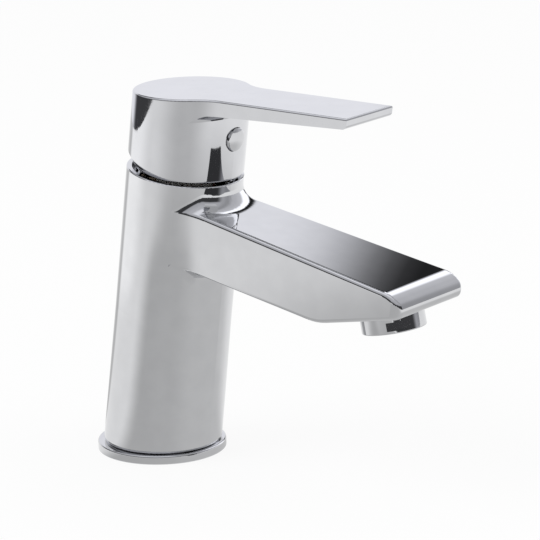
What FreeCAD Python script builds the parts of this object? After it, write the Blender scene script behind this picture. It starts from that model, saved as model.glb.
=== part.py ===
"""Single-lever basin mixer with a leaning round body, a cast spout and a ceramic-disc cartridge.

Millimetres. +X points forward along the spout, +Z is up and the origin is the centre of the base
on the deck. Pieces on the leaning axis are drawn upright in the axis frame, where heights are
measured along the axis, and are tilted last. Aerator pieces are drawn upright with the spout's
seat at height 0 and are then placed on the seat.
"""
import FreeCAD, Part
import math
import os

# Overall form
LEAN = 7.96                 # tilt of the body axis towards the spout, degrees
DRUM_R = 17.3               # cartridge drum, which the body is sized round
NUT_R = DRUM_R + 1.65
NUT_CLEAR = 0.05
RIM_R = NUT_R + 4.25        # body radius from the top of the taper to the rim
FOOT_R = RIM_R + 0.6        # body radius at the deck
TAPER_H = 60.0              # top of the slight taper, along the axis
RIM_H = 118.0               # rim, along the axis
FOOT_EDGE = 1.6             # round on the lower edge of the body
RIM_EDGE = 0.5              # round on the outer edge of the rim
RIM_INNER_EDGE = 0.4
WALL = 3.0                  # casting wall

# Base ring and its seal
RING_R = FOOT_R + 2.15
RING_T = 3.45
RING_EDGE = 0.8
SPIGOT_R = FOOT_R - 5.8
SPIGOT_CLEAR = 0.3
SPIGOT_LIFT = 0.6           # spigot face above the deck
SEAL_IN_R = SPIGOT_R + 3.0
SEAL_OUT_R = RING_R - 1.75
SEAL_T = 1.6

# Foot of the body
FOOT_WEB = 16.0             # height of the solid foot above the deck
STUD_R = 4.0
STUD_DEPTH = 12.0
INLET_R = 5.0
INLET_Y = 11.5
INLET_DEPTH = 12.0
CORE_HOLE_R = 4.5
CORE_HOLE_X = 12.0
WATERWAY_R = 3.0
CAST_TUBE_R = 5.5
RISER_R = 3.3               # waterway from the outlet port up into the spout
RISER_DROP = 11.6           # its lower end, below the cartridge seat
RISER_ANGLE = 33.0
RISER_REACH = 26.0

# Cartridge chamber, heights along the axis
SEAT_H = RIM_H - 28.0
SEAT_BLOCK = 18.0
DRUM_CLEAR = 0.2
SHOULDER_H = SEAT_H + 12.5
NUT_TOP = SHOULDER_H + 7.0
NUT_FLANGE = 3.4
NUT_HEX_AF = 31.0
THREAD_TOP = NUT_TOP + 2.0
RIM_BORE_R = RIM_R - 2.2

# Spout
SPOUT_HALF = 16.32          # half width of the side line where it would cross the axis
SPOUT_FLARE = 2.22          # widening of each side, degrees
SPOUT_BLEND = 26.0          # concave arc between body and spout side, in plan
SPOUT_REACH = 135.2         # tip of the nose, level, from the origin
SPOUT_CORNER = 6.0          # round of the nose corners, in plan
SPOUT_CORNER_OUT = 1.0      # how far the corner rounds stand out past the tip
SPOUT_EDGE = 1.6
SPOUT_PROUD = 0.05          # how far the concave arc stands proud where it leaves the body
SPOUT_ROOT = 7.0            # fillet round the root of the spout
ROOT_CREASE = 1.0           # the faintest crease that it smooths, degrees
TOP_X = 23.5
TOP_Z = RIM_H - 11.37
TOP_FALL = 10.45            # slope of the top face, degrees
UNDER_X = 53.0
UNDER_Z = TOP_Z - 29.73
UNDER_FALL = 9.26           # slope of the underside, degrees
UNDER_BLEND = 25.0
ROLL_BACK = 6.0             # where the nose starts to roll over, behind the tip
ROLL_FALL = 38.0            # slope of the roll, degrees
ROLL_R = 12.0
NOSE_UPPER_R = 4.0
NOSE_LOWER_R = 3.6
NOSE_UNDERCUT = 2.2         # how far the lower edge of the nose lies behind the tip
CAVITY_START = 25.5
THROAT_H = 5.1              # height of the passage over the aerator
CAVITY_END_X = SPOUT_REACH - 35.2

# Aerator
SEAT_X = SPOUT_REACH - 19.91
SEAT_DEPTH = 15.29          # seat below the top face of the spout
AERATOR_TILT = 11.15        # exit turned forward, degrees
AERATOR_R = 12.45
AERATOR_CLEAR = 0.05
AERATOR_EDGE = 0.4
AERATOR_DROP = 7.1          # from the seat to the exit
AERATOR_RISE = 6.9
AERATOR_BORE = AERATOR_R - 1.8
AERATOR_LIP = AERATOR_BORE - 0.8
AERATOR_LIP_T = 0.8
FLAT_AF = 2 * AERATOR_R - 1.8
FLAT_BASE = 1.1             # lower end of the wrench flats above the exit
FLAT_H = 3.3
FLAT_TURN = -44.0
NOTCH_W = 2.2               # notch over each flat
NOTCH_DEPTH = 1.3
GASKET_T = 1.4
INSERT_H = 6.6
CELL_R = 1.0                # honeycomb cell, across flats / 2
CELL_WALL = 0.5
REGULATOR_H = 3.3
REGULATOR_HOLES = 8
REGULATOR_HOLE_R = 1.3
REGULATOR_REACH = 6.1
FILTER_H = 2.6
FILTER_WALL = 0.8
FILTER_CLEAR = 0.4
FILTER_HOLE_R = 0.6
FILTER_RINGS = 3
FILTER_PITCH = 2.35

# Cartridge
PIVOT_H = RIM_H + 12.0      # pivot pin of the lever, along the axis
GAP = 0.05                  # running clearance between stacked or sliding pieces
BASE_T = 2.95
PORT_IN = (-5.5, 6.0)
PORT_OUT_X = 7.0
PORT_IN_R = 3.0
PORT_OUT_R = 3.6
PORT_SEAL_W = 1.0
PORT_SEAL_T = 1.0
PEG_R = 1.5
PEG_X = 10.5
PEG_Y = 8.5
PEG_L = 3.0
PEG_ROOM = 0.2
DRUM_BORE = DRUM_R - 3.5
DRUM_TOP_T = 1.7
NECK_R = 11.0
NECK_TOP = PIVOT_H - 4.0
NECK_BORE = 9.65
LIP_BORE = 8.35
LIP_T = 3.1
FIXED_DISC_R = DRUM_BORE - 0.2
FIXED_DISC_T = 2.4
MOVING_DISC_R = 8.9
MOVING_DISC_T = 2.4
MOVING_POCKET_R = 6.2
FLANGE_T = 2.4
POST_R = 5.2
POST_RISE = 2.5             # top of the carrier post above the ball centre
BODY_SEAL_H = SEAT_H + 6.2
BODY_SEAL_T = 1.6
BODY_SEAL_W = 1.35          # depth of its groove in the housing
LIMIT_R = 12.4
LIMIT_H = PIVOT_H - 10.0
LIMIT_T = 4.0

# Rotor, stem and pivot
LIFT = 22.0                 # travel of the lever, degrees
BALL_DROP = 20.0            # ball centre below the pivot
BALL_R = 3.4
BALL_CLEAR = 0.15
BALL_ROOM = 1.0             # under the ball
STEM_W = 7.0
STEM_ROD_R = 2.6
STEM_UP = 13.6
HUB_R = 3.5
PIN_R = 1.75
PIN_CLEAR_ROTOR = 0.02
PIN_CLEAR_STEM = 0.04
PIN_HALF = 7.9
ROTOR_BOTTOM = PIVOT_H - 16.0
ROTOR_LOW_R = 9.6
ROTOR_TOP_R = 8.3
ROTOR_TOP = PIVOT_H + 3.0
SLOT_CLEAR = 0.15
SLOT_LOW_HALF = 6.6
SLOT_TOP_HALF = 4.8
SLOT_STEP_H = PIVOT_H - 8.0
ROTOR_SEAL_H = PIVOT_H - 12.0
ROTOR_SEAL_T = 1.5
ROTOR_SEAL_W = 1.1

# Handle
HANDLE_R = RIM_R - 0.1
HANDLE_BOTTOM = RIM_H + 1.3
HANDLE_LOW_EDGE = 1.0       # round on the lower edge
HANDLE_TOP_EDGE = 0.7       # round on the edge of the top face and the lever
SKIRT_BOTTOM = RIM_H - 0.5
SKIRT_X = -8.0              # the skirt reaches into the rim behind this line
RELIEF_X = 2.3
RELIEF_H = PIVOT_H + 5.3
RELIEF_R = HANDLE_R + 3.95
HANDLE_TOP_Z = RIM_H + 31.63    # level top face above the deck
SKIRT_BORE = HANDLE_R - 5.5
HANDLE_BORE = HANDLE_R - 3.5
HANDLE_STEP_H = PIVOT_H - 6.0
HANDLE_ROOF = PIVOT_H + 14.5
BOSS_HALF = 6.5
BOSS_BACK = -6.0
BOSS_BOTTOM = PIVOT_H + 3.5
SWEEP_CLEAR = 0.4
LEVER_HALF = 14.5
LEVER_BLEND = 20.0
LEVER_REACH = 84.8
LEVER_T = 6.63              # thickness of the lever at LEVER_UNDER_X
LEVER_UNDER_X = 35.0
LEVER_UNDER_RISE = 2.0      # the underside rises towards the tip, degrees
LEVER_NOSE = 2.0            # round on the lower edge of the tip
LEVER_ROOT = 3.0            # fillet under the lever where it meets the cap

# Index plug and set screw
PLUG_H = PIVOT_H + 6.05
PLUG_R = 4.75
PLUG_CLEAR = 0.2
PLUG_SEAT_X = HANDLE_R - 4.8
PLUG_FACE_X = HANDLE_R + 0.7
PLUG_DOME = 0.6
PLUG_EDGE = 0.4
SCREW_R = 2.0
SCREW_TIP_X = 5.3
SCREW_END_X = HANDLE_R - 7.6
SCREW_HEX_AF = 2.0
SCREW_HEX_DEPTH = 2.2

OVER = 1.0                  # how far cutting tools overrun a face
FAR = 200.0
Y_AXIS = FreeCAD.Vector(0, 1, 0)
Z_AXIS = FreeCAD.Vector(0, 0, 1)
X_AXIS = FreeCAD.Vector(1, 0, 0)
ORIGIN = FreeCAD.Vector(0, 0, 0)
SIDES = (1, -1)


def rod(radius, bottom, top, x=0.0, y=0.0):
    """Upright cylinder between two heights."""
    return Part.makeCylinder(radius, top - bottom, FreeCAD.Vector(x, y, bottom))


def tube(outer, inner, bottom, top, x=0.0, y=0.0):
    """Upright tube between two heights."""
    return rod(outer, bottom, top, x, y).cut(rod(inner, bottom - OVER, top + OVER, x, y))


def rod_between(radius, start, end):
    """Cylinder from one point to another."""
    return Part.makeCylinder(radius, (end - start).Length, start, end - start)


def block(x0, x1, half_y, z0, z1):
    """Box that is symmetrical about the XZ plane."""
    return Part.makeBox(x1 - x0, 2 * half_y, z1 - z0, FreeCAD.Vector(x0, -half_y, z0))


def hexagon(across_flats, bottom, top):
    """Upright hexagonal prism."""
    corner = across_flats / math.sqrt(3)
    points = []
    for step in range(7):
        angle = math.radians(60 * step)
        points.append(FreeCAD.Vector(corner * math.cos(angle), corner * math.sin(angle), bottom))
    return Part.Face(Part.makePolygon(points)).extrude(FreeCAD.Vector(0, 0, top - bottom))


def turned(shape, angle, centre=ORIGIN):
    """Copy of a shape turned about +Y through a point."""
    copy = shape.copy()
    copy.rotate(centre, Y_AXIS, angle)
    return copy


def tilt(shape):
    """Move a shape from the axis frame to the leaning axis."""
    return turned(shape, LEAN)


def on_seat(shape):
    """Move a shape from the aerator frame to the spout's seat."""
    placed = turned(shape, -AERATOR_TILT)
    placed.translate(FreeCAD.Vector(SEAT_X, 0, seat_z()))
    return placed


def to_axis_frame(x, z):
    """Axis-frame position and height of a point given in the deck frame."""
    angle = math.radians(LEAN)
    return (x * math.cos(angle) - z * math.sin(angle), x * math.sin(angle) + z * math.cos(angle))


def slope_z(x, x0, z0, degrees):
    """Height at x of a line through (x0, z0) that rises by the given angle."""
    return z0 + math.tan(math.radians(degrees)) * (x - x0)


def spout_top(x):
    """Height of the spout's top face."""
    return slope_z(x, TOP_X, TOP_Z, -TOP_FALL)


def spout_under(x):
    """Height of the spout's underside behind the aerator seat."""
    return slope_z(x, UNDER_X, UNDER_Z, -UNDER_FALL)


def seat_z():
    """Height of the middle of the aerator seat."""
    return spout_top(SEAT_X) - SEAT_DEPTH


def spout_seat(x):
    """Height of the aerator seat plane."""
    return slope_z(x, SEAT_X, seat_z(), AERATOR_TILT)


def tongue(round_r, blend_r, half, flare, reach, corner_r, bottom, top):
    """Upright prism of a tongue that leaves a round through concave tangent arcs.

    The side lines pass through (0, half) and widen by the flare angle. The end is square to X,
    with rounded corners when corner_r is above zero.
    """
    slope = math.tan(math.radians(flare))
    scale = math.sqrt(1 + slope * slope)
    lift = half + blend_r * scale
    centre_d = round_r + blend_r
    root = (lift * slope) ** 2 - scale * scale * (lift * lift - centre_d * centre_d)
    blend_x = (math.sqrt(root) - lift * slope) / (scale * scale)
    blend_y = lift + slope * blend_x
    on_round = FreeCAD.Vector(blend_x * round_r / centre_d, blend_y * round_r / centre_d, bottom)
    on_line = FreeCAD.Vector(blend_x + blend_r * slope / scale, blend_y - blend_r / scale, bottom)
    centre = FreeCAD.Vector(blend_x, blend_y, bottom)
    middle = (on_round + on_line) * 0.5 - centre
    on_arc = centre + middle * (blend_r / middle.Length)
    corner_x = reach - corner_r
    corner_y = half + slope * corner_x - corner_r * scale
    turn = math.radians(90 + flare) / 2
    leave = FreeCAD.Vector(corner_x - corner_r * slope / scale, corner_y + corner_r / scale, bottom)
    round_mid = FreeCAD.Vector(corner_x + corner_r * math.cos(turn),
                               corner_y + corner_r * math.sin(turn), bottom)
    arrive = FreeCAD.Vector(reach, corner_y, bottom)

    def mirrored(point):
        return FreeCAD.Vector(point.x, -point.y, point.z)

    inner = FreeCAD.Vector(0, on_round.y, bottom)
    edges = [Part.makeLine(mirrored(inner), inner), Part.makeLine(arrive, mirrored(arrive))]
    for place in (lambda point: point, mirrored):
        edges.append(Part.makeLine(place(inner), place(on_round)))
        edges.append(Part.Arc(place(on_round), place(on_arc), place(on_line)).toShape())
        edges.append(Part.makeLine(place(on_line), place(leave)))
        if corner_r > 0:
            edges.append(Part.Arc(place(leave), place(round_mid), place(arrive)).toShape())
    wire = Part.Wire(Part.__sortEdges__(edges))
    return Part.Face(wire).extrude(FreeCAD.Vector(0, 0, top - bottom))


def slab(points):
    """Wide slab with the given outline in the XZ plane, symmetrical about Y = 0."""
    corners = [FreeCAD.Vector(x, -FAR / 2, z) for x, z in points]
    return Part.Face(Part.makePolygon(corners + corners[:1])).extrude(FreeCAD.Vector(0, FAR, 0))


def edges_along_y(shape, x_min):
    """Straight edges parallel to Y that lie beyond x_min."""
    found = []
    for edge in shape.Edges:
        run = edge.Vertexes[-1].Point - edge.Vertexes[0].Point
        if abs(run.y) > 0.999 * edge.Length and edge.CenterOfMass.x > x_min:
            found.append(edge)
    return found


def crease_angle(shape, edge):
    """Angle in degrees between the two faces that meet at an edge."""
    faces = shape.ancestorsOfType(edge, Part.Face)
    if len(faces) != 2:
        return 0.0
    middle = edge.valueAt((edge.FirstParameter + edge.LastParameter) / 2)
    normals = [face.normalAt(*face.Surface.parameter(middle)) for face in faces]
    return math.degrees(normals[0].getAngle(normals[1]))


def sharp_edges(shape, keep, least=15.0):
    """Edges whose middle point satisfies keep and whose crease is over the least angle."""
    found = []
    for edge in shape.Edges:
        middle = edge.valueAt((edge.FirstParameter + edge.LastParameter) / 2)
        if keep(middle) and crease_angle(shape, edge) > least:
            found.append(edge)
    return found


def base_ring():
    ring = tube(RING_R, SPIGOT_R + SPIGOT_CLEAR, 0, RING_T)
    rims = [edge for edge in ring.Edges
            if abs(edge.CenterOfMass.z - RING_T) < 0.01 and edge.Length > 2 * math.pi * RING_R - 1]
    ring = ring.makeFillet(RING_EDGE, rims)
    return ring.cut(tube(SEAL_OUT_R, SEAL_IN_R, -OVER, SEAL_T))


def base_seal():
    return tube(SEAL_OUT_R, SEAL_IN_R, 0, SEAL_T)


def nose_points():
    """Where the nose starts to roll, its tip and its lower edge, as (x, z) before rounding."""
    roll_x = SPOUT_REACH - ROLL_BACK
    tip_z = slope_z(SPOUT_REACH, roll_x, spout_top(roll_x), -ROLL_FALL)
    low_x = SPOUT_REACH - NOSE_UNDERCUT
    return (roll_x, spout_top(roll_x)), (SPOUT_REACH, tip_z), (low_x, spout_seat(low_x))


def spout_profile():
    """Side view of the spout as a wide slab, with the nose and the belly rounded."""
    rise = math.tan(math.radians(UNDER_FALL)) + math.tan(math.radians(AERATOR_TILT))
    meet_x = UNDER_X + (UNDER_Z - spout_seat(UNDER_X)) / rise
    roll, tip, low = nose_points()
    meet = (meet_x, spout_seat(meet_x))
    profile = slab([(0, spout_top(0)), roll, tip, low, meet, (0, spout_under(0))])
    rounds = ((roll, ROLL_R), (tip, NOSE_UPPER_R), (low, NOSE_LOWER_R), (meet, UNDER_BLEND))
    for (x, z), radius in rounds:
        corner = [edge for edge in edges_along_y(profile, OVER)
                  if math.hypot(edge.CenterOfMass.x - x, edge.CenterOfMass.z - z) < 0.1]
        profile = profile.makeFillet(radius, corner)
    return profile


def spout_arm():
    """Outer form of the spout, from the axis to the nose, in the deck frame."""
    reach = to_axis_frame(*nose_points()[1])[0] + SPOUT_CORNER_OUT
    plan = tongue(RIM_R + SPOUT_PROUD, SPOUT_BLEND, SPOUT_HALF, SPOUT_FLARE, reach, SPOUT_CORNER, 0, FAR)
    arm = tilt(plan).common(spout_profile())

    def ahead(point):
        return to_axis_frame(point.x, point.z)[0] > OVER

    return arm.makeFillet(SPOUT_EDGE, sharp_edges(arm, ahead))


def body_shell():
    """Outer form of the body with the spout blended in, in the deck frame."""
    column = Part.makeCone(FOOT_R, RIM_R, TAPER_H).fuse(rod(RIM_R, TAPER_H, RIM_H))
    column = tilt(column.fuse(rod(FOOT_R, -FOOT_R, 0))).removeSplitter()
    shell = column.fuse(spout_arm())

    def at_root(point):
        ahead, height = to_axis_frame(point.x, point.z)
        return math.hypot(ahead, point.y) < FOOT_R + 0.2 and TAPER_H < height < RIM_H - OVER

    shell = shell.makeFillet(SPOUT_ROOT, sharp_edges(shell, at_root, ROOT_CREASE))
    deck = Part.makeBox(FAR, FAR, RING_T + FAR, FreeCAD.Vector(-FAR / 2, -FAR / 2, -FAR))
    shell = shell.cut(deck)
    shell = shell.makeFillet(FOOT_EDGE, sharp_edges(shell, lambda point: point.z < RING_T + 0.01))

    def at_rim(point):
        return to_axis_frame(point.x, point.z)[1] > RIM_H - 0.01

    return shell.makeFillet(RIM_EDGE, sharp_edges(shell, at_rim))


def spout_waterway():
    """Hollow of the spout, from the body to the aerator socket, in the deck frame."""
    inner = tongue(RIM_R, SPOUT_BLEND, SPOUT_HALF - WALL, SPOUT_FLARE, SPOUT_REACH, 0, 0, FAR)
    inner = tilt(inner.common(block(CAVITY_START, FAR, FAR / 2, 0, FAR)))
    roof_end = SEAT_X + WALL
    hollow = inner.common(slab([
        (0, spout_top(0) - WALL), (CAVITY_END_X, spout_top(CAVITY_END_X) - WALL),
        (CAVITY_END_X, spout_under(CAVITY_END_X) + WALL), (0, spout_under(0) + WALL)]))
    throat_x = CAVITY_END_X - OVER
    throat = slab([(throat_x, spout_top(throat_x) - WALL), (roof_end, spout_top(roof_end) - WALL),
                   (roof_end, spout_top(roof_end) - WALL - THROAT_H),
                   (throat_x, spout_top(throat_x) - WALL - THROAT_H)])
    throat = throat.common(block(0, FAR, AERATOR_R - WALL, 0, FAR))
    socket = on_seat(rod(AERATOR_R + AERATOR_CLEAR, -WALL * 3, AERATOR_RISE + GASKET_T + 2 * GAP))
    return hollow.fuse(throat).fuse(socket)


def body_casting():
    shell = body_shell()
    spigot = rod(SPIGOT_R, SPIGOT_LIFT, FOOT_WEB)
    web_x, web_h = to_axis_frame(0, FOOT_WEB)
    hollow_r = RIM_R - WALL
    hollow = rod(hollow_r, web_h, SEAT_H - SEAT_BLOCK)
    for side in SIDES:
        start = FreeCAD.Vector(web_x, side * INLET_Y, web_h - OVER)
        end = FreeCAD.Vector(PORT_IN[0], side * PORT_IN[1], SEAT_H)
        hollow = hollow.cut(rod_between(CAST_TUBE_R, start, end))
    chamber = rod(DRUM_R + DRUM_CLEAR, SEAT_H, SHOULDER_H + OVER)
    chamber = chamber.fuse(rod(NUT_R + NUT_CLEAR, SHOULDER_H, THREAD_TOP + OVER))
    chamber = chamber.fuse(rod(RIM_BORE_R, THREAD_TOP, RIM_H + OVER))
    riser_h = SEAT_H - RISER_DROP
    rise = RISER_REACH * math.tan(math.radians(RISER_ANGLE))
    chamber = chamber.fuse(rod(PORT_OUT_R, riser_h, SEAT_H + OVER, PORT_OUT_X, 0))
    chamber = chamber.fuse(rod_between(RISER_R, FreeCAD.Vector(PORT_OUT_X, 0, riser_h),
                                       FreeCAD.Vector(PORT_OUT_X + RISER_REACH, 0, riser_h + rise)))
    for side in SIDES:
        start = FreeCAD.Vector(web_x, side * INLET_Y, web_h - FOOT_WEB + INLET_DEPTH)
        end = FreeCAD.Vector(PORT_IN[0], side * PORT_IN[1], SEAT_H + OVER)
        chamber = chamber.fuse(rod_between(WATERWAY_R, start, end))
        chamber = chamber.fuse(rod(PEG_R + GAP, SEAT_H - PEG_L - PEG_ROOM, SEAT_H + OVER, PEG_X,
                                   side * PEG_Y))
    casting = shell.fuse(spigot).cut(tilt(chamber))

    def at_mouth(point):
        ahead, height = to_axis_frame(point.x, point.z)
        return height > RIM_H - 0.01 and math.hypot(ahead, point.y) < RIM_BORE_R + 0.01

    casting = casting.makeFillet(RIM_INNER_EDGE, sharp_edges(casting, at_mouth))
    casting = casting.cut(tilt(hollow)).cut(spout_waterway())
    casting = casting.cut(rod(STUD_R, 0, SPIGOT_LIFT + STUD_DEPTH))
    for side in SIDES:
        casting = casting.cut(rod(INLET_R, 0, SPIGOT_LIFT + INLET_DEPTH, 0, side * INLET_Y))
        casting = casting.cut(rod(CORE_HOLE_R, 0, FOOT_WEB + 4 * WALL, side * CORE_HOLE_X, 0))
    return casting


def seal_rings(bottom, thickness):
    """Three port seals between two heights, as separate rings."""
    rings = []
    for x, y, radius in ports():
        rings.append(tube(radius + PORT_SEAL_W + GAP, radius + GAP, bottom, bottom + thickness, x, y))
    return rings


def ports():
    """Centre and radius of each port in the seat."""
    found = [(PORT_IN[0], side * PORT_IN[1], PORT_IN_R) for side in SIDES]
    found.append((PORT_OUT_X, 0.0, PORT_OUT_R))
    return found


def cartridge_base():
    bottom = SEAT_H + GAP
    top = bottom + BASE_T
    base = rod(DRUM_R, bottom, top)
    for side in SIDES:
        base = base.fuse(rod(PEG_R, bottom - PEG_L, bottom + OVER, PEG_X, side * PEG_Y))
    for x, y, radius in ports():
        groove_r = radius + PORT_SEAL_W + 2 * GAP
        base = base.cut(rod(radius, bottom - OVER, top + OVER, x, y))
        base = base.cut(rod(groove_r, bottom - OVER, bottom + PORT_SEAL_T + GAP, x, y))
        base = base.cut(rod(groove_r, top - PORT_SEAL_T - GAP, top + OVER, x, y))
    return base


def stack_heights():
    """Heights of the disc stack: fixed disc, moving disc, carrier flange and flange top."""
    fixed = SEAT_H + 2 * GAP + BASE_T
    moving = fixed + FIXED_DISC_T + GAP
    flange = moving + MOVING_DISC_T + GAP
    return fixed, moving, flange, flange + FLANGE_T


def ball_offset():
    """Forward position of the ball with the lever down."""
    return -BALL_DROP * math.sin(math.radians(LIFT / 2))


def fixed_disc():
    bottom = stack_heights()[0]
    disc = rod(FIXED_DISC_R, bottom, bottom + FIXED_DISC_T)
    for x, y, radius in ports():
        disc = disc.cut(rod(radius, bottom - OVER, bottom + FIXED_DISC_T + OVER, x, y))
    return disc


def moving_disc():
    bottom = stack_heights()[1]
    disc = rod(MOVING_DISC_R, bottom, bottom + MOVING_DISC_T, ball_offset())
    return disc.cut(rod(MOVING_POCKET_R, bottom - OVER, bottom + MOVING_DISC_T / 2, ball_offset()))


def disc_carrier():
    bottom, top = stack_heights()[2:]
    post_top = PIVOT_H - BALL_DROP + POST_RISE
    carrier = rod(MOVING_DISC_R, bottom, top, ball_offset())
    carrier = carrier.fuse(rod(POST_R, bottom, post_top, ball_offset()))
    floor = PIVOT_H - BALL_DROP - BALL_R - BALL_ROOM
    return carrier.cut(rod(BALL_R + BALL_CLEAR, floor, post_top + OVER, ball_offset()))


def cartridge_housing():
    bottom = SEAT_H + 2 * GAP + BASE_T
    ceiling = SHOULDER_H - DRUM_TOP_T
    housing = rod(DRUM_R, bottom, SHOULDER_H).fuse(rod(NECK_R, bottom, NECK_TOP))
    housing = housing.cut(rod(DRUM_BORE, bottom - OVER, ceiling))
    housing = housing.cut(rod(NECK_BORE, ceiling - OVER, NECK_TOP - LIP_T))
    housing = housing.cut(rod(LIP_BORE, NECK_TOP - LIP_T - OVER, NECK_TOP + OVER))
    groove = tube(DRUM_R + OVER, DRUM_R - BODY_SEAL_W, BODY_SEAL_H, BODY_SEAL_H + BODY_SEAL_T)
    return housing.cut(groove)


def housing_seal():
    outer = DRUM_R + DRUM_CLEAR - GAP
    inner = DRUM_R - BODY_SEAL_W + GAP
    return tube(outer, inner, BODY_SEAL_H + GAP, BODY_SEAL_H + BODY_SEAL_T - GAP)


def retaining_nut():
    bottom = SHOULDER_H + GAP
    nut = rod(NUT_R, bottom, bottom + NUT_FLANGE).fuse(hexagon(NUT_HEX_AF, bottom, NUT_TOP))
    return nut.cut(rod(NECK_R + 6 * GAP, bottom - OVER, NUT_TOP + OVER))


def limit_ring():
    return tube(LIMIT_R, NECK_R + GAP, LIMIT_H, LIMIT_H + LIMIT_T)


def slot(clear=SLOT_CLEAR):
    """Space in the rotor that the stem swings in."""
    half_y = STEM_W / 2 + clear
    low = block(-SLOT_LOW_HALF, SLOT_LOW_HALF, half_y, ROTOR_BOTTOM - OVER, SLOT_STEP_H)
    return low.fuse(block(-SLOT_TOP_HALF, SLOT_TOP_HALF, half_y, SLOT_STEP_H - OVER,
                          ROTOR_TOP + OVER))


def rotor():
    shoulder = NECK_TOP - LIP_T - GAP
    turret = rod(ROTOR_LOW_R, ROTOR_BOTTOM, shoulder).fuse(rod(ROTOR_TOP_R, ROTOR_BOTTOM, ROTOR_TOP))
    turret = turret.cut(tube(ROTOR_LOW_R + OVER, ROTOR_LOW_R - ROTOR_SEAL_W, ROTOR_SEAL_H,
                             ROTOR_SEAL_H + ROTOR_SEAL_T))
    turret = turret.cut(slot())
    return turret.cut(pin_rod(PIN_R + PIN_CLEAR_ROTOR, ROTOR_LOW_R + OVER))


def pin_rod(radius, half_length):
    """Rod along the pivot line."""
    return Part.makeCylinder(radius, 2 * half_length, FreeCAD.Vector(0, -half_length, PIVOT_H), Y_AXIS)


def rotor_seal():
    return tube(ROTOR_LOW_R, ROTOR_LOW_R - ROTOR_SEAL_W + GAP, ROTOR_SEAL_H + GAP,
                ROTOR_SEAL_H + ROTOR_SEAL_T - GAP)


def pivot_pin():
    return pin_rod(PIN_R, PIN_HALF)


def lean_forward(shape):
    """Turn a piece of the lever about the pivot to where it stands with the lever down."""
    return turned(shape, LIFT / 2, FreeCAD.Vector(0, 0, PIVOT_H))


def stem():
    ball_h = PIVOT_H - BALL_DROP
    post = block(-STEM_W / 2, STEM_W / 2, STEM_W / 2, PIVOT_H, PIVOT_H + STEM_UP)
    post = post.fuse(pin_rod(HUB_R, STEM_W / 2))
    post = post.fuse(rod(STEM_ROD_R, ball_h, PIVOT_H))
    post = post.fuse(Part.makeSphere(BALL_R, FreeCAD.Vector(0, 0, ball_h)))
    return lean_forward(post.cut(pin_rod(PIN_R + PIN_CLEAR_STEM, STEM_W)))


def lever_under(x):
    """Height of the lever's underside above the deck."""
    return slope_z(x, LEVER_UNDER_X, HANDLE_TOP_Z - LEVER_T, LEVER_UNDER_RISE)


def lever_slab(x0, x1):
    """Everything between the lever's underside and the handle's top face, in the axis frame."""
    side = slab([(x0, lever_under(x0)), (x1, lever_under(x1)), (x1, HANDLE_TOP_Z),
                 (x0, HANDLE_TOP_Z)])
    return turned(side.common(block(x0, x1, 3 * HANDLE_R, 0, FAR)), -LEAN)


def lever_blade():
    """Flat lever with concave shoulders, a rounded tip and a filleted root, in the axis frame."""
    plan = tongue(HANDLE_R, LEVER_BLEND, LEVER_HALF, 0, LEVER_REACH, 0, 0, FAR)
    blade = plan.common(lever_slab(0, FAR))
    low_edge = min(edges_along_y(blade, LEVER_REACH - OVER), key=lambda edge: edge.CenterOfMass.z)
    blade = blade.makeFillet(LEVER_NOSE, [low_edge])
    collar = rod(HANDLE_R, HANDLE_BOTTOM, HANDLE_TOP_Z).fuse(lever_slab(-2 * HANDLE_R, 2 * HANDLE_R))

    def at_root(point):
        level = tilt(Part.Vertex(point)).Vertexes[0].Point
        return (abs(math.hypot(point.x, point.y) - HANDLE_R) < 0.1
                and abs(level.z - lever_under(level.x)) < 0.1)

    collar = collar.makeFillet(LEVER_ROOT, sharp_edges(collar, at_root))
    return blade.fuse(collar.common(plan).common(rod(1.5 * HANDLE_R, PIVOT_H, FAR)))


def handle_cap(above):
    """Round cap with the skirt, before the lever and the hollow are made, in the axis frame."""
    front = rod(HANDLE_R, HANDLE_BOTTOM, FAR)
    low_edge = [edge for edge in front.Edges
                if edge.Closed and abs(edge.CenterOfMass.z - HANDLE_BOTTOM) < 0.01]
    front = front.makeFillet(HANDLE_LOW_EDGE, low_edge)
    skirt = rod(HANDLE_R, SKIRT_BOTTOM, FAR).cut(block(SKIRT_X, FAR, FAR, 0, FAR))
    ball = Part.makeSphere(RELIEF_R, FreeCAD.Vector(RELIEF_X, 0, RELIEF_H))
    return front.fuse(skirt).common(ball.fuse(rod(2 * HANDLE_R, RELIEF_H, FAR))).cut(above)


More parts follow.
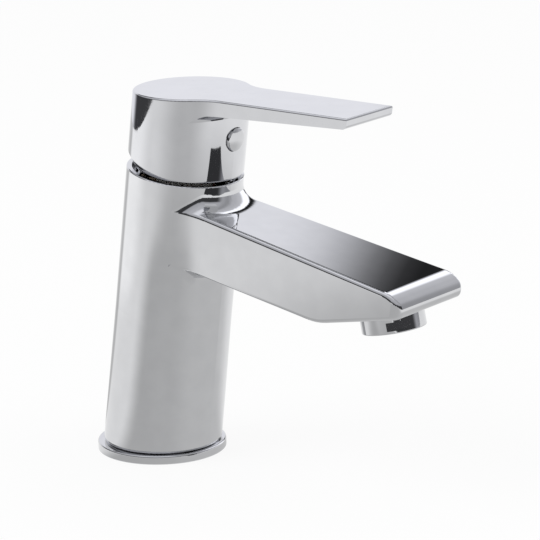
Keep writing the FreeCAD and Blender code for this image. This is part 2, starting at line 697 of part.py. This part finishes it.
def handle():
    """Cap with the lever, the skirt, the stem socket and the screw hole, in the axis frame."""
    above = turned(Part.makeBox(FAR, FAR, FAR, FreeCAD.Vector(-FAR / 2, -FAR / 2, HANDLE_TOP_Z)), -LEAN)
    solid = handle_cap(above).fuse(lever_blade()).cut(above).removeSplitter()

    def at_top(point):
        return tilt(Part.Vertex(point)).Vertexes[0].Point.z > HANDLE_TOP_Z - 0.01

    solid = solid.makeFillet(HANDLE_TOP_EDGE, sharp_edges(solid, at_top))
    cavity = rod(SKIRT_BORE, SKIRT_BOTTOM - OVER, HANDLE_STEP_H + OVER)
    cavity = cavity.fuse(rod(HANDLE_BORE, HANDLE_STEP_H, HANDLE_ROOF).cut(
        block(BOSS_BACK, FAR, BOSS_HALF, BOSS_BOTTOM, FAR)))
    solid = solid.cut(cavity.cut(above))
    pivot = FreeCAD.Vector(0, 0, PIVOT_H)
    sweep = rod(ROTOR_TOP_R + SWEEP_CLEAR, PIVOT_H - HUB_R, ROTOR_TOP + SWEEP_CLEAR)
    for share in (0, 0.5, 1):
        solid = solid.cut(turned(sweep, share * LIFT, pivot))
    socket_half = STEM_W / 2 + GAP
    socket = block(-socket_half, socket_half, socket_half, PIVOT_H, PIVOT_H + STEM_UP + 6 * GAP)
    solid = solid.cut(lean_forward(socket))
    solid = solid.cut(front_rod(SCREW_R + GAP, 0, HANDLE_R))
    return solid.cut(front_rod(PLUG_R + PLUG_CLEAR, PLUG_SEAT_X, HANDLE_R + OVER))


def front_rod(radius, start, end):
    """Rod on the line of the index plug, pointing forward, in the axis frame."""
    return Part.makeCylinder(radius, end - start, FreeCAD.Vector(start, 0, PLUG_H), X_AXIS)


def set_screw():
    screw = front_rod(SCREW_R, SCREW_TIP_X, SCREW_END_X)
    key = hexagon(SCREW_HEX_AF, 0, SCREW_HEX_DEPTH + OVER)
    key.rotate(ORIGIN, Y_AXIS, 90)
    key.translate(FreeCAD.Vector(SCREW_END_X - SCREW_HEX_DEPTH, 0, PLUG_H))
    return screw.cut(key)


def index_plug():
    """Domed button that stands a little proud of the cap."""
    dome_r = (PLUG_R ** 2 + PLUG_DOME ** 2) / (2 * PLUG_DOME)
    dome = Part.makeSphere(dome_r, FreeCAD.Vector(PLUG_FACE_X + PLUG_DOME - dome_r, 0, PLUG_H))
    plug = front_rod(PLUG_R, PLUG_SEAT_X + GAP, PLUG_FACE_X + PLUG_DOME).common(dome)
    rim = [edge for edge in plug.Edges if abs(edge.CenterOfMass.x - PLUG_FACE_X) < 0.01]
    return plug.makeFillet(PLUG_EDGE, rim)


def aerator_housing():
    """Threaded shell with a pair of wrench flats and a notch over each."""
    shell = rod(AERATOR_R, -AERATOR_DROP, AERATOR_RISE)
    exit_edge = [edge for edge in shell.Edges
                 if edge.Closed and abs(edge.CenterOfMass.z + AERATOR_DROP) < 0.01]
    shell = shell.makeFillet(AERATOR_EDGE, exit_edge)
    flat_h = FLAT_BASE - AERATOR_DROP
    notch_h = flat_h + FLAT_H - GAP
    for side in SIDES:
        flat = Part.makeBox(AERATOR_R, 4 * AERATOR_R, FLAT_H,
                            FreeCAD.Vector(FLAT_AF / 2, -2 * AERATOR_R, flat_h))
        notch = Part.makeBox(AERATOR_R, NOTCH_W, -notch_h,
                             FreeCAD.Vector(AERATOR_R - NOTCH_DEPTH, -NOTCH_W / 2, notch_h))
        recess = flat.fuse(notch)
        recess.rotate(ORIGIN, Z_AXIS, FLAT_TURN + 90 * (1 - side))
        shell = shell.cut(recess)
    shell = shell.cut(rod(AERATOR_LIP, -AERATOR_DROP - OVER, AERATOR_RISE))
    return shell.cut(rod(AERATOR_BORE, AERATOR_LIP_T - AERATOR_DROP, AERATOR_RISE + OVER))


def aerator_gasket():
    bottom = AERATOR_RISE + GAP
    return tube(AERATOR_R - 2 * GAP, AERATOR_LIP, bottom, bottom + GASKET_T - GAP)


def aerator_insert():
    """Honeycomb that shapes the stream."""
    bottom = AERATOR_LIP_T - AERATOR_DROP + GAP
    core = rod(AERATOR_BORE - GAP, bottom, bottom + INSERT_H)
    cell = 2 * CELL_R
    pitch = cell + CELL_WALL
    count = math.ceil(AERATOR_R / pitch)
    for row in range(-count, count + 1):
        for column in range(-2 * count, 2 * count + 1):
            x = pitch * (column + 0.5 * row)
            y = pitch * row * math.sin(math.radians(60))
            if math.hypot(x, y) < AERATOR_LIP - cell:
                hole = hexagon(cell, bottom - OVER, bottom + INSERT_H + OVER)
                hole.rotate(ORIGIN, Z_AXIS, 30)
                hole.translate(FreeCAD.Vector(x, y, 0))
                core = core.cut(hole)
    return core


def flow_regulator():
    bottom = AERATOR_LIP_T - AERATOR_DROP + INSERT_H + 2 * GAP
    plate = rod(AERATOR_BORE - GAP, bottom, bottom + REGULATOR_H)
    for step in range(REGULATOR_HOLES):
        angle = 2 * math.pi * step / REGULATOR_HOLES
        plate = plate.cut(rod(REGULATOR_HOLE_R, bottom - OVER, bottom + REGULATOR_H + OVER,
                              REGULATOR_REACH * math.cos(angle), REGULATOR_REACH * math.sin(angle)))
    return plate


def inlet_filter():
    """Shallow perforated cup on top of the regulator."""
    bottom = AERATOR_LIP_T - AERATOR_DROP + INSERT_H + REGULATOR_H + 3 * GAP
    outer = AERATOR_LIP - FILTER_CLEAR
    cup = rod(outer, bottom, bottom + FILTER_H)
    cup = cup.cut(rod(outer - FILTER_WALL, bottom - OVER, bottom + FILTER_H - FILTER_WALL))
    cup = cup.cut(rod(FILTER_HOLE_R, bottom, bottom + FILTER_H + OVER))
    for ring in range(1, FILTER_RINGS + 1):
        for step in range(6 * ring):
            angle = math.pi * step / (3 * ring)
            cup = cup.cut(rod(FILTER_HOLE_R, bottom, bottom + FILTER_H + OVER,
                              ring * FILTER_PITCH * math.cos(angle),
                              ring * FILTER_PITCH * math.sin(angle)))
    return cup


def build():
    """Every piece in its place, by node name."""
    nodes = {
        "base_ring": base_ring(),
        "base_seal": base_seal(),
        "body_casting": body_casting(),
    }
    upright = {
        "cartridge_base": cartridge_base(),
        "port_seals": Part.makeCompound(seal_rings(SEAT_H + GAP / 2, PORT_SEAL_T)),
        "disc_seals": Part.makeCompound(seal_rings(SEAT_H + GAP + BASE_T - PORT_SEAL_T, PORT_SEAL_T)),
        "fixed_disc": fixed_disc(),
        "moving_disc": moving_disc(),
        "disc_carrier": disc_carrier(),
        "cartridge_housing": cartridge_housing(),
        "housing_seal": housing_seal(),
        "retaining_nut": retaining_nut(),
        "limit_ring": limit_ring(),
        "rotor": rotor(),
        "rotor_seal": rotor_seal(),
        "pivot_pin": pivot_pin(),
        "stem": stem(),
        "handle": handle(),
        "set_screw": set_screw(),
        "index_plug": index_plug(),
    }
    aerator = {
        "aerator_housing": aerator_housing(),
        "aerator_gasket": aerator_gasket(),
        "aerator_insert": aerator_insert(),
        "flow_regulator": flow_regulator(),
        "inlet_filter": inlet_filter(),
    }
    nodes.update({name: tilt(shape) for name, shape in upright.items()})
    nodes.update({name: on_seat(shape) for name, shape in aerator.items()})
    return nodes


os.makedirs("parts", exist_ok=True)
for name, shape in build().items():
    if not shape.isValid():
        raise ValueError(name + " is not a valid shape")
    shape.exportStep("parts/" + name + ".step")
    print(name, len(shape.Solids), round(shape.Volume, 1))
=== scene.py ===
"""Looks of a single-lever basin mixer: finishes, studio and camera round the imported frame."""
import logging
import math
from dataclasses import dataclass, field
from enum import Enum

import bmesh
import bpy
from mathutils import Matrix, Vector

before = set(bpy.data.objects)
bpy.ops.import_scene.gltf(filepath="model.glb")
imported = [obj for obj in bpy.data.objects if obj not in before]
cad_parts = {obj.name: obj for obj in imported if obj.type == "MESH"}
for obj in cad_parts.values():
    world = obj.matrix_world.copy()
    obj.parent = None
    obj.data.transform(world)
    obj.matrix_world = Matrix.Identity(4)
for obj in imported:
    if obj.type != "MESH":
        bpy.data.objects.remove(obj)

log = logging.getLogger("basin_mixer")
Colour = tuple[float, float, float]
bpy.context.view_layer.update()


class Wear(Enum):
    """How much handling a surface shows."""

    SEALED = 0.2
    CLEAN = 0.6
    HANDLED = 1.0


class NodeSheet:
    """Small helper that builds the node tree of one material."""

    def __init__(self, name: str) -> None:
        """Start a material with an empty tree and an output."""
        self.material = bpy.data.materials.new(name)
        self.material.use_nodes = True
        self.tree = self.material.node_tree
        self.tree.nodes.clear()
        self.output = self.add("ShaderNodeOutputMaterial")

    def add(self, kind: str, **settings: object) -> bpy.types.Node:
        """Add a node.

        Args:
            kind: Blender's name of the node type.
            settings: attributes set on the node.

        Returns:
            The new node.
        """
        node = self.tree.nodes.new(kind)
        for key, value in settings.items():
            setattr(node, key, value)
        return node

    def link(self, source: bpy.types.NodeSocket, target: bpy.types.NodeSocket) -> None:
        """Join two sockets."""
        self.tree.links.new(source, target)

    def number(self, operation: str, first: object, second: object) -> bpy.types.NodeSocket:
        """Do arithmetic on two values, each a socket or a number.

        Returns:
            The result's socket.
        """
        node = self.add("ShaderNodeMath", operation=operation)
        for index, value in enumerate((first, second)):
            if isinstance(value, bpy.types.NodeSocket):
                self.link(value, node.inputs[index])
            else:
                node.inputs[index].default_value = value
        return node.outputs[0]

    def noise(self, scale: float, detail: float, stretch: Colour = (1, 1, 1)) -> bpy.types.NodeSocket:
        """Noise on Object coordinates.

        Args:
            scale: features per metre.
            detail: octaves.
            stretch: scale of the coordinates along each axis.

        Returns:
            The noise value's socket.
        """
        where = self.add("ShaderNodeTexCoord")
        mapping = self.add("ShaderNodeMapping")
        mapping.inputs["Scale"].default_value = stretch
        noise = self.add("ShaderNodeTexNoise")
        noise.inputs["Scale"].default_value = scale
        noise.inputs["Detail"].default_value = detail
        self.link(where.outputs["Object"], mapping.inputs["Vector"])
        self.link(mapping.outputs["Vector"], noise.inputs["Vector"])
        return noise.outputs["Fac"]

    def spread(self, value: bpy.types.NodeSocket, low: float, high: float) -> bpy.types.NodeSocket:
        """Map a 0 to 1 value, most of it near the middle, onto a range.

        Returns:
            The mapped value's socket.
        """
        node = self.add("ShaderNodeMapRange")
        node.inputs["From Min"].default_value = 0.3
        node.inputs["From Max"].default_value = 0.7
        node.inputs["To Min"].default_value = low
        node.inputs["To Max"].default_value = high
        self.link(value, node.inputs["Value"])
        return node.outputs["Result"]

    def blend(self, value: bpy.types.NodeSocket, low: Colour, high: Colour) -> bpy.types.NodeSocket:
        """Colour between two ends, by a value.

        Returns:
            The colour's socket.
        """
        ramp = self.add("ShaderNodeValToRGB")
        ramp.color_ramp.elements[0].position = 0.35
        ramp.color_ramp.elements[1].position = 0.65
        ramp.color_ramp.elements[0].color = (*low, 1)
        ramp.color_ramp.elements[1].color = (*high, 1)
        self.link(value, ramp.inputs["Fac"])
        return ramp.outputs["Color"]

    def ramp(self, value: bpy.types.NodeSocket, stops: list[tuple[float, float]]) -> bpy.types.NodeSocket:
        """Grey value along a smooth ramp.

        Args:
            value: socket that runs from 0 to 1.
            stops: position and brightness of each stop.

        Returns:
            The ramp's colour socket.
        """
        node = self.add("ShaderNodeValToRGB")
        node.color_ramp.interpolation = "EASE"
        elements = node.color_ramp.elements
        while len(elements) < len(stops):
            elements.new(0.5)
        for element, (position, level) in zip(elements, stops):
            element.position = position
            element.color = (level, level, level, 1)
        self.link(value, node.inputs["Fac"])
        return node.outputs["Color"]

    def bump(self, height: bpy.types.NodeSocket, depth: float, strength: float) -> bpy.types.NodeSocket:
        """Turn a height into a surface normal.

        Args:
            height: socket with a 0 to 1 height.
            depth: metres between 0 and 1.
            strength: share of the effect.

        Returns:
            The normal's socket.
        """
        node = self.add("ShaderNodeBump")
        node.inputs["Strength"].default_value = strength
        node.inputs["Distance"].default_value = depth
        self.link(height, node.inputs["Height"])
        return node.outputs["Normal"]


@dataclass(frozen=True)
class Finish:
    """Base of the finishes: a name, two close colours and a roughness range."""

    name: str
    shade: Colour
    light: Colour
    smooth: float
    rough: float
    grain: float = 900.0
    metallic: float = 0.0
    depth: float = 0.00002
    strength: float = 0.2
    stretch: Colour = (1, 1, 1)

    def build(self) -> bpy.types.Material:
        """Make the material.

        Returns:
            The finished material.
        """
        sheet = NodeSheet(self.name)
        shader = sheet.add("ShaderNodeBsdfPrincipled")
        shader.inputs["Metallic"].default_value = self.metallic
        fine = sheet.noise(self.grain, 4.0, self.stretch)
        broad = sheet.noise(self.grain / 12, 2.0)
        sheet.link(sheet.blend(broad, self.shade, self.light), shader.inputs["Base Color"])
        sheet.link(sheet.spread(fine, self.smooth, self.rough), shader.inputs["Roughness"])
        sheet.link(sheet.bump(fine, self.depth, self.strength), shader.inputs["Normal"])
        self.extras(sheet, shader)
        sheet.link(shader.outputs["BSDF"], sheet.output.inputs["Surface"])
        return sheet.material

    def extras(self, sheet: NodeSheet, shader: bpy.types.Node) -> None:
        """Hook for what only one kind of finish has."""


@dataclass(frozen=True)
class Chrome(Finish):
    """Polished chrome plate: a mirror with faint wiping haze and hardly any waviness."""

    wear: Wear = Wear.CLEAN

    def extras(self, sheet: NodeSheet, shader: bpy.types.Node) -> None:
        """Lay a soft haze of wiping marks over the polish."""
        haze = sheet.noise(38.0, 3.0, (1.0, 1.0, 2.5))
        fine = sheet.noise(self.grain, 2.0)
        patch = sheet.number("MULTIPLY", sheet.spread(haze, 0.0, 1.0), self.wear.value)
        fleck = sheet.spread(fine, self.smooth, self.rough)
        sheet.link(sheet.number("MULTIPLY", fleck, sheet.number("ADD", patch, 0.6)),
                   shader.inputs["Roughness"])


@dataclass(frozen=True)
class Moulded(Finish):
    """Moulded plastic or rubber with a fine spark-eroded grain."""

    coat: float = 0.0

    def extras(self, sheet: NodeSheet, shader: bpy.types.Node) -> None:
        """Add the thin glossy skin that polished mouldings have."""
        shader.inputs["Coat Weight"].default_value = self.coat
        shader.inputs["Coat Roughness"].default_value = 0.12


CHROME_BODY = Chrome("chrome_body", (0.655, 0.66, 0.675), (0.68, 0.685, 0.70), 0.018, 0.034,
                     grain=1600.0, metallic=1.0, depth=0.000001, strength=0.02)
CHROME_HANDLE = Chrome("chrome_handle", (0.655, 0.66, 0.68), (0.68, 0.685, 0.705), 0.018, 0.036,
                       grain=1500.0, metallic=1.0, depth=0.000001, strength=0.02,
                       wear=Wear.HANDLED)
CHROME_TRIM = Chrome("chrome_trim", (0.63, 0.635, 0.65), (0.66, 0.665, 0.68), 0.03, 0.06,
                     grain=1800.0, metallic=1.0, depth=0.000001, strength=0.03,
                     wear=Wear.CLEAN)
RUBBER = Moulded("rubber", (0.028, 0.028, 0.03), (0.05, 0.05, 0.052), 0.55, 0.8, grain=1400.0,
                 strength=0.3)
# Dull brass, its colours set far darker than bright brass so the nut and stem in the gap under the handle read dark:
# the darkness is painted shade.
BRASS_WITH_PAINTED_SHADE = Finish("brass", (0.30, 0.22, 0.12), (0.38, 0.29, 0.17), 0.18, 0.38, grain=500.0,
               metallic=1.0, stretch=(1, 1, 14), strength=0.15)
WHITE_PLASTIC = Moulded("white_plastic", (0.78, 0.78, 0.75), (0.86, 0.86, 0.84), 0.3, 0.48,
                        grain=1100.0, coat=0.1)
GREY_PLASTIC = Moulded("grey_plastic", (0.19, 0.195, 0.205), (0.26, 0.265, 0.275), 0.32, 0.5,
                       grain=1100.0, coat=0.1)
RED_PLASTIC = Moulded("red_plastic", (0.45, 0.03, 0.025), (0.58, 0.05, 0.04), 0.28, 0.42,
                      grain=1100.0, coat=0.2)
CERAMIC = Moulded("ceramic", (0.86, 0.84, 0.78), (0.92, 0.90, 0.86), 0.06, 0.16, grain=2200.0,
                  coat=0.4, strength=0.05)
STEEL = Finish("steel", (0.45, 0.45, 0.47), (0.58, 0.58, 0.60), 0.2, 0.36, grain=700.0,
               metallic=1.0, stretch=(14, 1, 1), strength=0.12)


def dress(node: str, material: bpy.types.Material) -> None:
    """Give a CAD node one finish all over."""
    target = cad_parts[node]
    target.data.materials.clear()
    target.data.materials.append(material)
    log.info("%s: %s", node, material.name)


@dataclass
class Assembly:
    """A group of CAD nodes with the finish that each one takes."""

    name: str
    finishes: dict[str, Finish] = field(default_factory=dict)

    def build(self, cupboard: "Cupboard") -> None:
        """Dress every node of the group."""
        for node, finish in self.finishes.items():
            dress(node, cupboard.material(finish))
        log.info("%s: %d pieces", self.name, len(self.finishes))


class Cupboard:
    """Keeps one material for each finish."""

    def __init__(self) -> None:
        """Start with nothing made."""
        self.made: dict[str, bpy.types.Material] = {}

    def material(self, finish: Finish) -> bpy.types.Material:
        """Material of a finish, made the first time it is asked for.

        Returns:
            The material.
        """
        if finish.name not in self.made:
            self.made[finish.name] = finish.build()
        return self.made[finish.name]


BODY = Assembly("body", {
    "body_casting": CHROME_BODY,
    "base_ring": CHROME_BODY,
    "base_seal": RUBBER,
})
HANDLE = Assembly("handle", {
    "handle": CHROME_HANDLE,
    "index_plug": CHROME_TRIM,
    "set_screw": STEEL,
    "stem": BRASS_WITH_PAINTED_SHADE,
})
CARTRIDGE = Assembly("cartridge", {
    "cartridge_housing": WHITE_PLASTIC,
    "cartridge_base": WHITE_PLASTIC,
    "retaining_nut": BRASS_WITH_PAINTED_SHADE,
    "limit_ring": RED_PLASTIC,
    "rotor": GREY_PLASTIC,
    "pivot_pin": STEEL,
    "disc_carrier": GREY_PLASTIC,
    "moving_disc": CERAMIC,
    "fixed_disc": CERAMIC,
    "port_seals": RUBBER,
    "disc_seals": RUBBER,
    "housing_seal": RUBBER,
    "rotor_seal": RUBBER,
})
AERATOR = Assembly("aerator", {
    "aerator_housing": CHROME_TRIM,
    "aerator_gasket": RUBBER,
    "aerator_insert": GREY_PLASTIC,
    "flow_regulator": WHITE_PLASTIC,
    "inlet_filter": WHITE_PLASTIC,
})


@dataclass
class Studio:
    """White sweep, a glowing table sheet of painted reflection, the tent, the lamps and the camera."""

    azimuth: float = 38.27
    elevation: float = 14.88
    roll: float = -1.249
    distance: float = 1.22
    aim: Colour = (0.0520, 0.0069, 0.0793)
    lens: float = 208.3
    floor_size: float = 6.0
    tent_radius: float = 0.45
    tent_rim: float = 0.06
    sheet_radius: float = 1.6
    near_radius: float = 0.28

    def build(self) -> None:
        """Set up everything that isn't part of the object."""
        self.camera()
        self.world()
        self.floor()
        self.painted_reflection_sheet()
        self.tent()
        self.lamps()

    def camera(self) -> None:
        """Place the camera and make it the scene's."""
        turn = math.radians(self.azimuth)
        rise = math.radians(self.elevation)
        tip = math.radians(self.roll)
        back = Vector((math.sin(turn) * math.cos(rise), -math.cos(turn) * math.cos(rise),
                       math.sin(rise)))
        right = Vector((math.cos(turn), math.sin(turn), 0))
        up = back.cross(right)
        tipped_right = right * math.cos(tip) + up * math.sin(tip)
        tipped_up = up * math.cos(tip) - right * math.sin(tip)
        data = bpy.data.cameras.new("camera")
        data.sensor_width = 36
        data.lens = self.lens
        data.clip_start = 0.01
        camera = bpy.data.objects.new("camera", data)
        bpy.context.scene.collection.objects.link(camera)
        turned = Matrix((tipped_right, tipped_up, back)).transposed().to_4x4()
        camera.matrix_world = Matrix.Translation(Vector(self.aim) + back * self.distance) @ turned
        bpy.context.scene.camera = camera

    def world(self) -> None:
        """White where the camera, metal or glass sees it, and a plain level elsewhere."""
        world = bpy.data.worlds.new("world")
        world.use_nodes = True
        bpy.context.scene.world = world
        tree = world.node_tree
        background = tree.nodes["Background"]
        path = tree.nodes.new("ShaderNodeLightPath")
        seen = tree.nodes.new("ShaderNodeMath")
        seen.operation = "ADD"
        tree.links.new(path.outputs["Is Camera Ray"], seen.inputs[0])
        tree.links.new(path.outputs["Is Glossy Ray"], seen.inputs[1])
        both = tree.nodes.new("ShaderNodeMath")
        both.operation = "ADD"
        both.use_clamp = True
        tree.links.new(seen.outputs[0], both.inputs[0])
        tree.links.new(path.outputs["Is Transmission Ray"], both.inputs[1])
        level = tree.nodes.new("ShaderNodeMapRange")
        level.inputs["To Min"].default_value = 0.7
        level.inputs["To Max"].default_value = 1.0
        tree.links.new(both.outputs[0], level.inputs["Value"])
        tree.links.new(level.outputs["Result"], background.inputs["Strength"])
        background.inputs["Color"].default_value = (1, 1, 1, 1)

    def staged(self, name: str, mesh: bmesh.types.BMesh, material: bpy.types.Material) -> bpy.types.Object:
        """Turn a bmesh into a stage object.

        Returns:
            The new object.
        """
        data = bpy.data.meshes.new(name)
        mesh.to_mesh(data)
        mesh.free()
        data.materials.append(material)
        stage = bpy.data.objects.new(name, data)
        bpy.context.scene.collection.objects.link(stage)
        return stage

    def floor(self) -> None:
        """Pale floor that reads as white and keeps a faint shadow."""
        sheet = NodeSheet("floor")
        diffuse = sheet.add("ShaderNodeBsdfDiffuse")
        diffuse.inputs["Color"].default_value = (0.92, 0.92, 0.92, 1)
        glow = sheet.add("ShaderNodeEmission")
        glow.inputs["Strength"].default_value = 1.0
        path = sheet.add("ShaderNodeLightPath")
        seen = sheet.number("ADD", path.outputs["Is Camera Ray"], path.outputs["Is Glossy Ray"])
        seen = sheet.number("ADD", seen, path.outputs["Is Transmission Ray"])
        share = sheet.number("MULTIPLY", sheet.number("MINIMUM", seen, 1.0), 0.88)
        mix = sheet.add("ShaderNodeMixShader")
        sheet.link(share, mix.inputs["Fac"])
        sheet.link(diffuse.outputs[0], mix.inputs[1])
        sheet.link(glow.outputs[0], mix.inputs[2])
        sheet.link(mix.outputs[0], sheet.output.inputs["Surface"])
        mesh = bmesh.new()
        bmesh.ops.create_grid(mesh, x_segments=1, y_segments=1, size=self.floor_size)
        self.staged("floor", mesh, sheet.material)

    def only_in_reflections(self, stage: bpy.types.Object) -> None:
        """Keep a stage piece out of the view and out of the light on everything else."""
        stage.visible_camera = False
        stage.visible_diffuse = False
        stage.visible_shadow = False
        stage.visible_transmission = False

    def angle_round(self, sheet: NodeSheet) -> tuple[bpy.types.NodeSocket, bpy.types.NodeSocket, bpy.types.NodeSocket]:
        """Polar coordinates about the column.

        Returns:
            The angle from 0 to 1 about the camera's side, the radius and the height.
        """
        where = sheet.add("ShaderNodeTexCoord")
        spin = sheet.add("ShaderNodeMapping")
        spin.inputs["Rotation"].default_value = (0, 0, math.radians(90 - self.azimuth))
        sheet.link(where.outputs["Object"], spin.inputs["Vector"])
        split = sheet.add("ShaderNodeSeparateXYZ")
        sheet.link(spin.outputs["Vector"], split.inputs["Vector"])
        angle = sheet.number("ARCTAN2", split.outputs["Y"], split.outputs["X"])
        share = sheet.number("ADD", sheet.number("DIVIDE", angle, 2 * math.pi), 0.5)
        along = sheet.number("POWER", split.outputs["X"], 2.0)
        across = sheet.number("POWER", split.outputs["Y"], 2.0)
        radius = sheet.number("SQRT", sheet.number("ADD", along, across), 0.0)
        return share, radius, split.outputs["Z"]

    def painted_reflection_sheet(self) -> None:
        """Glowing card on the table that only the polished metal shows: a painted reflection, its light and shade set
        by angle round the column and by distance from it.
        """
        sheet = NodeSheet("painted_reflection_sheet")
        share, radius, _ = self.angle_round(sheet)
        # Painted reflection: glow levels round the column, one ramp within about near_radius of it and a mostly
        # brighter one beyond.
        near = sheet.ramp(share, [(0.0, 0.9), (0.10, 0.55), (0.13, 0.95), (0.28, 0.95),
                                  (0.375, 0.54), (0.5, 0.56), (0.62, 0.64), (0.75, 0.66),
                                  (0.88, 0.92), (1.0, 0.9)])
        far = sheet.ramp(share, [(0.0, 1.0), (0.10, 0.6), (0.13, 1.15), (0.2, 1.15), (0.3, 0.9),
                                 (0.46, 0.60), (0.5, 0.61), (0.63, 0.96), (1.0, 1.0)])
        step = sheet.add("ShaderNodeMapRange", interpolation_type="SMOOTHSTEP")
        step.inputs["From Min"].default_value = self.near_radius * 0.85
        step.inputs["From Max"].default_value = self.near_radius * 1.3
        sheet.link(radius, step.inputs["Value"])
        mix = sheet.add("ShaderNodeMix", data_type="RGBA")
        sheet.link(step.outputs["Result"], mix.inputs["Factor"])
        sheet.link(near, mix.inputs["A"])
        sheet.link(far, mix.inputs["B"])
        glow = sheet.add("ShaderNodeEmission")
        sheet.link(mix.outputs["Result"], glow.inputs["Color"])
        sheet.link(glow.outputs[0], sheet.output.inputs["Surface"])
        mesh = bmesh.new()
        bmesh.ops.create_circle(mesh, cap_ends=True, segments=96, radius=self.sheet_radius)
        bmesh.ops.translate(mesh, verts=mesh.verts, vec=(0, 0, 0.0002))
        self.only_in_reflections(self.staged("painted_reflection_sheet", mesh, sheet.material))

    def tent(self) -> None:
        """Light panels in a dark room, close enough for their edges to move along the metal."""
        sheet = NodeSheet("tent")
        share, radius, height = self.angle_round(sheet)
        rise = sheet.number("DIVIDE", sheet.number("ARCTAN2", height, radius), math.pi / 2)
        front = sheet.ramp(rise, [(0.0, 0.06), (0.29, 0.05), (0.38, 0.50), (0.66, 0.60),
                                  (0.82, 1.0)])
        panel = sheet.ramp(rise, [(0.0, 0.94), (0.46, 0.98), (0.50, 0.04), (0.68, 0.04),
                                  (0.80, 1.0)])
        strip = sheet.ramp(share, [(0.70, 0.50), (0.745, 0.38), (0.79, 0.60), (0.84, 0.70),
                                   (0.865, 1.5), (0.895, 1.6), (0.91, 0.02), (0.925, 0.02)])
        panel_mask = sheet.ramp(share, [(0.0, 1.0), (0.10, 1.0), (0.15, 0.0), (0.922, 0.0),
                                        (0.962, 1.0), (1.0, 1.0)])
        strip_mask = sheet.ramp(share, [(0.0, 0.0), (0.68, 0.0), (0.72, 1.0), (0.92, 1.0),
                                        (0.93, 1.0), (0.96, 0.0)])
        colour = front
        for light, mask in ((strip, strip_mask), (panel, panel_mask)):
            mix = sheet.add("ShaderNodeMix", data_type="RGBA")
            sheet.link(mask, mix.inputs["Factor"])
            sheet.link(colour, mix.inputs["A"])
            sheet.link(light, mix.inputs["B"])
            colour = mix.outputs["Result"]
        tint = sheet.add("ShaderNodeMix", data_type="RGBA", blend_type="MULTIPLY")
        tint.inputs["Factor"].default_value = 1.0
        tint.inputs["B"].default_value = (0.985, 0.99, 1.04, 1)
        sheet.link(colour, tint.inputs["A"])
        glow = sheet.add("ShaderNodeEmission")
        sheet.link(tint.outputs["Result"], glow.inputs["Color"])
        sheet.link(glow.outputs[0], sheet.output.inputs["Surface"])
        mesh = bmesh.new()
        bmesh.ops.create_icosphere(mesh, subdivisions=6, radius=self.tent_radius)
        bmesh.ops.bisect_plane(mesh, geom=mesh.verts[:] + mesh.edges[:] + mesh.faces[:],
                               plane_co=(0, 0, self.tent_rim), plane_no=(0, 0, 1),
                               clear_inner=True)
        self.only_in_reflections(self.staged("tent", mesh, sheet.material))

    def lamps(self) -> None:
        """Two wide soft lamps, left out of the reflections."""
        for name, place, power in (("key_lamp", (-0.8, -1.2, 1.6), 14.0),
                                   ("fill_lamp", (1.4, 0.6, 1.4), 8.0)):
            data = bpy.data.lights.new(name, "AREA")
            data.energy = power
            data.size = 1.4
            lamp = bpy.data.objects.new(name, data)
            lamp.location = place
            lamp.rotation_euler = Vector(place).to_track_quat("Z", "Y").to_euler()
            lamp.visible_glossy = False
            bpy.context.scene.collection.objects.link(lamp)


def main() -> None:
    """Build the studio and dress every piece."""
    logging.basicConfig(level=logging.INFO, format="%(message)s")
    bpy.context.scene.view_settings.view_transform = "Standard"
    Studio().build()
    cupboard = Cupboard()
    for assembly in (BODY, HANDLE, CARTRIDGE, AERATOR):
        assembly.build(cupboard)


if __name__ == "__main__":
    main()
